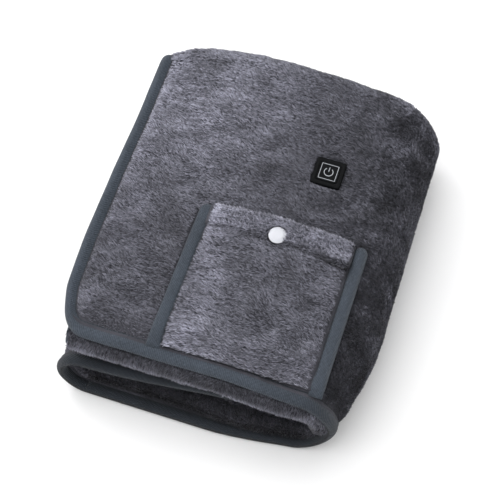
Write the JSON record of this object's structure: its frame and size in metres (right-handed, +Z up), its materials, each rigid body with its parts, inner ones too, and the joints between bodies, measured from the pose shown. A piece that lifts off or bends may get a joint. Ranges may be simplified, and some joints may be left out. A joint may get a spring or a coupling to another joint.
{
  "type": "heated plush blanket",
  "caption": "Folded electric warming blanket of thick plush with bound edges, a patch pocket closed by a snap, and a soft square power button.",
  "frame": {"origin": "centre of the folded blanket's footprint, on the surface that it lies on", "axes": "+Z up, +Y from the bound front edge to the rounded back fold, +X from the flap's free edge to the right-hand fold"},
  "size_m": [0.296, 0.352, 0.1075],
  "materials": {
    "plush": "cut-pile coral fleece",
    "pocket_plush": "cut-pile coral fleece, reverse side out on the hem",
    "edge_tape": "matt knitted binding tape",
    "felt": "needled non-woven felt",
    "heating_line": "silicone-coated carbon fibre",
    "lead_sheath": "satin sheath",
    "white_plastic": "semi-gloss acetal",
    "black_silicone": "soft satin silicone",
    "white_ink": "matt print",
    "light_guide": "clear satin",
    "black_plastic": "moulded, matt",
    "circuit_board": "solder mask",
    "lamp": "clear",
    "plated_steel": "nickel plated"
  },
  "bodies": {
    "base": {"base_face_fleece": "plush", "base_back_fleece": "plush", "base_inner_plies": "plush", "base_edge_binding": "edge_tape", "inner_end_binding": "edge_tape", "inner_ply_binding": "edge_tape", "bottom_heating_pad": "felt", "bottom_heating_line": "heating_line", "inner_heating_pad": "felt", "inner_heating_line": "heating_line", "base_lead": "lead_sheath", "left_fold_lead": "lead_sheath"},
    "fold": {"fold_face_fleece": "plush", "fold_back_fleece": "plush", "fold_inner_plies": "plush", "fold_edge_binding": "edge_tape", "fold_lead": "lead_sheath"},
    "flap": {"flap_face_fleece": "plush", "flap_back_fleece": "plush", "flap_inner_plies": "plush", "flap_edge_binding": "edge_tape", "flap_inner_binding": "edge_tape", "flap_heating_pad": "felt", "flap_heating_line": "heating_line", "thermostat": "black_plastic", "flap_pad_lead": "lead_sheath", "supply_lead": "lead_sheath", "flap_fold_lead": "lead_sheath", "controller_housing": "black_plastic", "controller_board": "circuit_board", "tact_switch": "black_plastic", "driver_chip": "black_plastic", "power_transistor": "black_plastic", "indicator_lamps": "lamp", "button_bezel": "black_silicone", "inlet_grommet": "black_silicone", "inlet_socket": "plated_steel", "snap_stud": "white_plastic", "snap_backing_cap": "white_plastic", "pocket_left_binding": "edge_tape", "pocket_right_binding": "edge_tape"},
    "pocket": {"pocket_panel": "pocket_plush", "pocket_hem": "pocket_plush", "snap_cap": "white_plastic", "snap_socket": "white_plastic"},
    "power_button": {"power_key": "black_silicone", "key_sign": "white_ink", "light_guide": "light_guide", "switch_plunger": "black_plastic"}
  },
  "joints": [
    {"name": "fold_lower", "type": "hinge", "parent": "base", "child": "fold", "pos_m": [0.13438, 0, 0.01362], "axis": [0, 1, 0], "range_deg": [0, 80]},
    {"name": "fold_upper", "type": "hinge", "parent": "fold", "child": "flap", "pos_m": [0.13438, 0, 0.07938], "axis": [0, 1, 0], "range_deg": [0, 80]},
    {"name": "pocket_mouth", "type": "hinge", "parent": "flap", "child": "pocket", "pos_m": [0.0302, -0.1416, 0.0932], "axis": [1, 0, 0], "range_deg": [0, 14]},
    {"name": "power_key_press", "type": "slide", "parent": "flap", "child": "power_button", "axis": [0, 0, -1], "range_m": [0, 0.0004], "stiffness_N_per_m": 900, "springref_m": -0.0004}
  ],
  "couplings": [
    {"joint": "fold_upper", "follows": "fold_lower", "ratio": 1}
  ]
}
